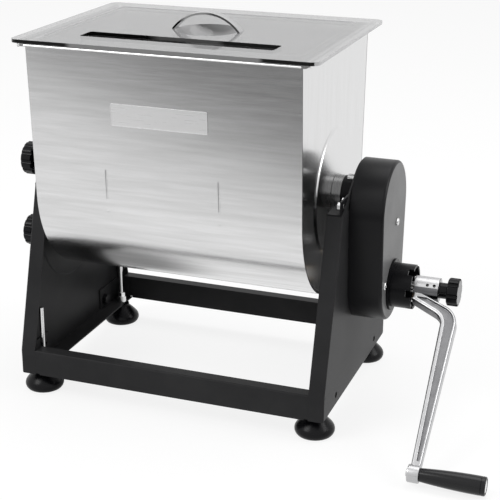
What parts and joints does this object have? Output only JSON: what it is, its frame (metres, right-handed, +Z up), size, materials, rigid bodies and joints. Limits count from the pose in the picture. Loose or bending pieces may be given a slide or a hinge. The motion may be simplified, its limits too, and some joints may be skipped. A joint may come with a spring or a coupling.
{
  "type": "manual meat mixer",
  "caption": "Hand cranked meat mixer: steel trough with a clear lid tilts on a black stand, paddle shaft driven through a side gear case.",
  "frame": {"origin": "on the table, at the middle of the rectangle of the four feet", "axes": "+X towards the crank along the shafts, -Y to the front, +Z up"},
  "size_m": [0.6453, 0.3379, 0.462],
  "materials": {
    "brushed_steel": "brushed",
    "bright_steel": "turned",
    "plated_steel": "plated",
    "name_plate": "satin",
    "black_coat": "satin powder coat",
    "black_steel": "satin",
    "bronze": "sintered",
    "cast_aluminium": "satin cast",
    "black_plastic": "moulded",
    "black_grip": "moulded",
    "black_rubber": "moulded",
    "clear_plastic": "clear"
  },
  "bodies": {
    "stand": {"side_plate_left": "black_coat", "side_plate_right": "black_coat", "front_bar": "black_coat", "rear_bar": "black_coat", "bar_bolts": "black_steel", "rubber_feet": "black_rubber", "foot_studs": "plated_steel", "foot_weld_nuts": "plated_steel", "foot_lock_nuts": "plated_steel", "bearing_housing_left": "black_steel", "bearing_housing_right": "black_steel", "tilt_bushes": "bronze", "housing_ring_nut": "black_steel", "pin_boss": "black_steel", "lock_boss": "black_steel", "stop_bracket": "black_steel", "stop_bolts": "plated_steel", "gear_cover": "black_coat", "cover_screws": "plated_steel", "cover_spacers": "bright_steel", "crank_collar": "black_plastic", "gear_bridge": "bright_steel", "bridge_pillars": "bright_steel", "bridge_nuts": "bright_steel", "shaft_bushes": "bronze", "idler_stud": "bright_steel"},
    "tank": {"tank_trough": "brushed_steel", "tank_end_left": "brushed_steel", "tank_end_right": "brushed_steel", "tank_hub_left": "bright_steel", "tank_hub_right": "bright_steel", "hub_bushes": "bronze", "hub_seals": "black_rubber", "nameplate": "name_plate"},
    "lid": {"lid_panel": "clear_plastic", "lid_handle": "clear_plastic"},
    "paddle": {"drive_shaft": "bright_steel", "shaft_gear": "bright_steel", "drive_key": "bright_steel", "drive_clip": "bright_steel", "paddle_shaft": "bright_steel", "paddle_arms": "bright_steel", "paddle_blades": "brushed_steel"},
    "idler": {"idler_gear": "bright_steel", "idler_bush": "bronze"},
    "crank": {"crank_shaft": "bright_steel", "crank_pinion": "bright_steel", "crank_key": "bright_steel", "crank_clip": "bright_steel", "crank_arm": "cast_aluminium", "hub_pins": "bright_steel", "grip_axle": "bright_steel", "grip_cap": "plated_steel"},
    "grip": {"grip_sleeve": "black_grip"},
    "star_stud": {"star_stud": "bright_steel"},
    "star_knob": {"star_knob": "black_plastic"},
    "pull_pin": {"pull_pin": "bright_steel", "pull_knob": "black_plastic"},
    "lock_stud": {"lock_stud": "bright_steel"},
    "lock_knob": {"lock_knob": "black_plastic"}
  },
  "joints": [
    {"name": "tank_tilt", "type": "hinge", "parent": "stand", "child": "tank", "pos_m": [0, 0, 0.262], "axis": [1, 0, 0], "range_deg": [0, 95]},
    {"name": "lid_lift", "type": "slide", "parent": "tank", "child": "lid", "axis": [0, 0, 1], "range_m": [0, 0.15]},
    {"name": "paddle_spin", "type": "hinge", "parent": "stand", "child": "paddle", "pos_m": [0, 0, 0.262], "axis": [1, 0, 0], "continuous": true},
    {"name": "idler_spin", "type": "hinge", "parent": "stand", "child": "idler", "pos_m": [0, 0, 0.198], "axis": [1, 0, 0], "continuous": true},
    {"name": "crank_turn", "type": "hinge", "parent": "stand", "child": "crank", "pos_m": [0, 0, 0.154], "axis": [1, 0, 0], "continuous": true},
    {"name": "grip_spin", "type": "hinge", "parent": "crank", "child": "grip", "pos_m": [0.35, -0.18971, 0.01362], "axis": [1, 0, 0], "continuous": true},
    {"name": "star_screw_out", "type": "slide", "parent": "crank", "child": "star_stud", "axis": [1, 0, 0], "range_m": [0, 0.02]},
    {"name": "star_turn", "type": "hinge", "parent": "star_stud", "child": "star_knob", "pos_m": [0.31, 0, 0.154], "axis": [1, 0, 0], "range_deg": [0, 5760]},
    {"name": "pin_pull", "type": "slide", "parent": "stand", "child": "pull_pin", "axis": [-1, 0, 0], "range_m": [0, 0.045]},
    {"name": "lock_screw_out", "type": "slide", "parent": "stand", "child": "lock_stud", "axis": [-1, 0, 0], "range_m": [0, 0.015]},
    {"name": "lock_turn", "type": "hinge", "parent": "lock_stud", "child": "lock_knob", "pos_m": [-0.25, 0, 0.164], "axis": [-1, 0, 0], "range_deg": [0, 3600]}
  ],
  "couplings": [
    {"joint": "idler_spin", "follows": "paddle_spin", "ratio": -1.4615},
    {"joint": "crank_turn", "follows": "paddle_spin", "ratio": 2.1111},
    {"joint": "star_screw_out", "follows": "star_turn", "m_per_rad": 0.00019894},
    {"joint": "lock_screw_out", "follows": "lock_turn", "m_per_rad": 0.00023873}
  ]
}
